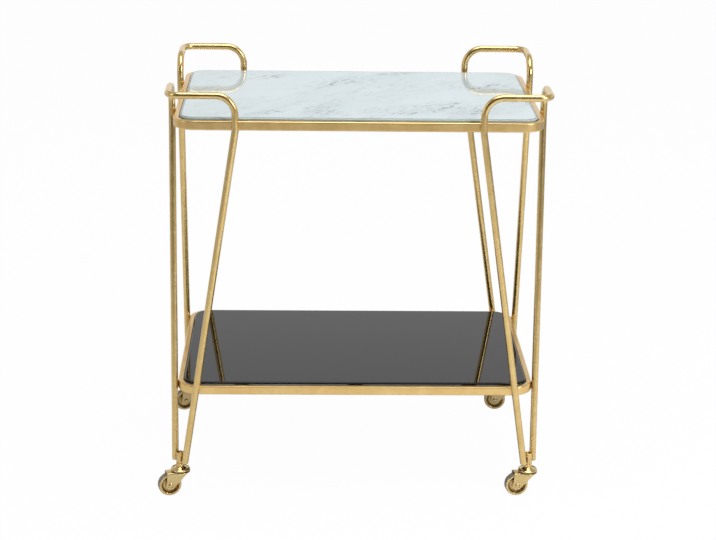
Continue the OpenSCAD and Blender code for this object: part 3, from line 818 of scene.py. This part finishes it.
def wheel(corner, axle, across):
    """The dished wheel, whose marks are its own profile, and the tread band seated between its
    flanges."""
    body = corner + "_roller"
    hub, rim, seat = FORK_GAP / 2 - SIDE_PLAY, WHEEL_W / 2, TYRE_W / 2 + SIDE_PLAY
    side = [(AXLE_R + RUN_FIT, hub), (HUB_R, hub), (HUB_R, WEB_HALF), (DISH_R - 2.2, WEB_HALF),
            (DISH_R, rim), (FLANGE_R, rim), (FLANGE_R, seat), (SEAT_R, seat)]
    soft = (0.3, 0.5, 1.0, 1.2, 0.4, 0.5, 0.3, 0.2)
    profile = held(softened([(r, -h) for r, h in side] + side[::-1], soft + soft[::-1], 4))
    points, _ = turned(profile, axle, across, 80)
    marks = np.broadcast_to(profile, points.shape[:2] + (2,))
    Shell().grid(points, round_rows=True, round_columns=True, marks=marks).piece(
        corner + "_wheel_body", wheel_brass, body, [corner + "_wheel"], "plated_metal")

    inner, edge = SEAT_R + TYRE_FIT, TYRE_W / 2
    tyre = softened([(inner, -edge), (WHEEL_R, -edge), (WHEEL_R, edge), (inner, edge)],
                    (0.2, 0.96, 0.96, 0.2), 6)
    turned_shell(held(tyre), axle, across, 96).piece(
        corner + "_tread", tread, body, [corner + "_tyre"], "tyre_rubber")


def caster(corner):
    """A caster's pieces, turned about the swivel and the axle where the model's joints are."""
    joints = {joint["name"]: joint for joint in frame["joints"]}
    swivel, roll = joints[corner + "_swivel"], joints[corner + "_roll"]
    x, y, _ = np.array(swivel["pos_m"]) / MM
    axle = np.array(roll["pos_m"]) / MM
    across = np.array(roll["axis"])
    back = axle - (x, y, axle[2])
    back /= np.linalg.norm(back)
    centre = (x, y, 0)
    post(corner, centre)
    fork(corner, centre, axle, across, back)
    wheel(corner, axle, across)


SHEET_SINK = 0.04  # the folded sheet's top lies this far below the round top's
SHEET_RIM = ((0.45, 0), (0.13, 0.13), (0, 0.45), (0, 1.55), (0.13, 1.87), (0.45, 2.0))  # (in, deep)


def fork_rails(inset, depth):
    """The bent sheet's back and front edge, set in from its rim and down into the sheet, as
    (forward, beside, up) points.

    Each runs from one cheek's tip round a circle about the axle, along that circle's tangent,
    over the bend and the top, and down the other cheek in the same way."""
    radius, middle = CHEEK_R - inset, np.array([-TRAIL, WHEEL_R])
    half, top_z = FORK_GAP / 2 + FORK_T, FORK_TOP - SHEET_SINK
    fold = np.linspace(0, np.pi / 2, 8)
    outer_z = top_z - FORK_BEND + FORK_BEND * np.sin(fold)
    y = half - FORK_BEND + (FORK_BEND - depth) * np.cos(fold)
    z = top_z - FORK_BEND + (FORK_BEND - depth) * np.sin(fold)
    front_x = math.sqrt((FORK_TOP_R - FORK_T / 2) ** 2 - half ** 2)
    back_end = np.array([-TRAIL - CHEEK_R + CHEEK_LEAN + inset, FORK_TOP])
    front_end = np.array([front_x - inset, FORK_UNDER + 1])
    rails = []
    for end, side in ((back_end, 1), (front_end, -1)):
        away = end - middle
        touch = math.atan2(away[1], away[0]) + side * math.acos(radius / np.linalg.norm(away))
        angle = np.linspace(-np.pi / 2, touch - (side + 1) * np.pi, 13)
        low = middle + radius * np.stack([np.cos(angle), np.sin(angle)], -1)
        share = np.clip((outer_z - low[-1, 1]) / (end[1] - low[-1, 1]), 0, 1)
        cheek = np.stack([low[:, 0], np.full(len(low), half - depth), low[:, 1]], -1)
        bend = np.stack([low[-1, 0] + share * (end[0] - low[-1, 0]), y, z], -1)
        rail = np.concatenate([cheek, bend])
        rails.append(np.concatenate([rail, rail[::-1] * (1, -1, 1)]))
    return rails


def folded_sheet(shell, centre, forward, beside):
    """The fork's sheet: outer and inner face between the two rails, and a rounded rim."""
    frame_of = np.stack([forward, beside, (0, 0, 1.0)])
    layers = [[rail @ frame_of + np.asarray(centre, float) for rail in fork_rails(inset, depth)]
              for inset, depth in SHEET_RIM]
    share = np.array([0, 0.03, 0.5, 0.97, 1])[None, :, None]
    for (back, front), inner in ((layers[0], False), (layers[-1], True)):
        shell.grid(back[:, None] * (1 - share) + front[:, None] * share, flip=inner)
    rings = np.stack([np.concatenate([back, front[::-1]]) for back, front in layers])
    shell.grid(rings, round_columns=True)


for corner in CORNERS:
    caster(corner)


# ---- model pieces that stay, with their own finish ---------------------------

def tidied(node, material):
    """A copy of a model piece with its loose triangles merged and its curves smooth."""
    source = frame["nodes"][node]
    mesh = source.data.copy()
    mesh.materials.clear()
    return finish_piece(node + "_smooth", mesh, material, source["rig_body"], [node], 0.005)


for tray in ("top", "shelf"):
    tidied(tray + "_tabs", caster_brass)
    tidied(tray + "_bumpers", bumper)
for corner in CORNERS:
    tidied(corner + "_ball_ring", steel)
    tidied(corner + "_grip_ring", steel)


# ---- floor, backdrop and studio light ----------------------------------------

FLOOR_HALF, FLOOR_DROP = 30.0, 0.0004  # metres
FLOOR_SEEN, GLOW_PATCH_SEEN = 0.975, 0.3
ROOM_LOW, ROOM_HIGH = (26, 24, 21), (146, 143, 136)
FILL_COLOUR, FILL_STRENGTH = (0.92, 0.94, 1.0, 1), 0.34


def white_floor():
    """A plain pale floor: nearly white to the camera, and its own soft light and shade in
    everything else. Under the back left of the trolley a patch of painted light glows, and shows
    only in what reflects it."""
    board = Board("studio_floor")
    grain = board.noise(board.place(), 3.0, 2.0)
    pale = board.blend(grain, linear(236, 236, 236), linear(240, 240, 240))
    plain = board.add("ShaderNodeBsdfDiffuse", {}, {"Color": pale})
    glow = board.add("ShaderNodeEmission", {}, {"Color": (1, 1, 1, 1), "Strength": 1.0})
    x, y, _ = board.split(board.place())
    # painted light: a glowing patch on the floor under the back left, seen only by reflection rays,
    # which brightens the back casters' reflections
    glow_patch = x.ramp(-0.05, -0.15) * y.ramp(-0.05, 0.05) * GLOW_PATCH_SEEN
    seen = (board.ray("Camera") * FLOOR_SEEN).most(board.ray("Glossy") * glow_patch)
    mix = board.add("ShaderNodeMixShader", {}, {0: seen, 1: plain.outputs[0], 2: glow.outputs[0]})
    board.add("ShaderNodeOutputMaterial", {}, {"Surface": mix.outputs[0]})
    mesh = bpy.data.meshes.new("studio_floor")
    corners = [(x * FLOOR_HALF, y * FLOOR_HALF, -FLOOR_DROP)
               for x, y in ((-1, -1), (1, -1), (1, 1), (-1, 1))]
    mesh.from_pydata(corners, [], [(0, 1, 2, 3)])
    mesh.materials.append(board.material)
    floor = bpy.data.objects.new("studio_floor", mesh)
    bpy.context.scene.collection.objects.link(floor)


def studio_world():
    """White where the camera looks. In reflections, a white backdrop behind the trolley and a
    dim room in front of it. A dim even fill for everything else."""
    world = bpy.data.worlds.new("studio")
    world.use_nodes = True
    board = Board("", world.node_tree)
    _, y, z = board.split(board.add("ShaderNodeTexCoord").outputs["Generated"])
    backdrop = board.blend(z.ramp(0.05, 0.75), linear(255, 255, 255), linear(178, 178, 180))
    room = board.blend(z.ramp(0.35, 0.75), linear(*ROOM_LOW), linear(*ROOM_HIGH))
    tone = board.blend(y.ramp(-0.55, 0.4), room, backdrop)
    seen = board.ray("Camera")
    mirrored = board.ray("Glossy").most(board.ray("Transmission"))
    light = board.add("ShaderNodeBackground", {},
                      {"Color": board.blend(seen, tone, (1, 1, 1, 1)), "Strength": 1.0})
    fill = board.add("ShaderNodeBackground", {}, {"Color": FILL_COLOUR, "Strength": FILL_STRENGTH})
    mix = board.add("ShaderNodeMixShader", {},
                    {0: seen.most(mirrored), 1: fill.outputs[0], 2: light.outputs[0]})
    board.add("ShaderNodeOutputWorld", {}, {"Surface": mix.outputs[0]})
    bpy.context.scene.world = world


def softbox(name, place, aim, width, height, watts):
    """A soft area lamp that looks at a point."""
    data = bpy.data.lights.new(name, "AREA")
    data.shape, data.size, data.size_y, data.energy = "RECTANGLE", width, height, watts
    lamp = bpy.data.objects.new(name, data)
    lamp.location = place
    lamp.rotation_euler = (Vector(aim) - Vector(place)).to_track_quat("-Z", "Y").to_euler()
    bpy.context.scene.collection.objects.link(lamp)


white_floor()
studio_world()
softbox("top_softbox", (0.2, -0.4, 3.0), (0, 0, 0.4), 2.0, 1.6, 44)
softbox("right_key", (1.7, -1.7, 1.5), (0.4, -1.0, 0.0), 0.8, 1.0, 28)
softbox("left_strip", (-2.3, -1.2, 1.5), (0, 0, 0.45), 0.4, 2.0, 8)

bpy.context.scene.view_settings.view_transform = "Standard"
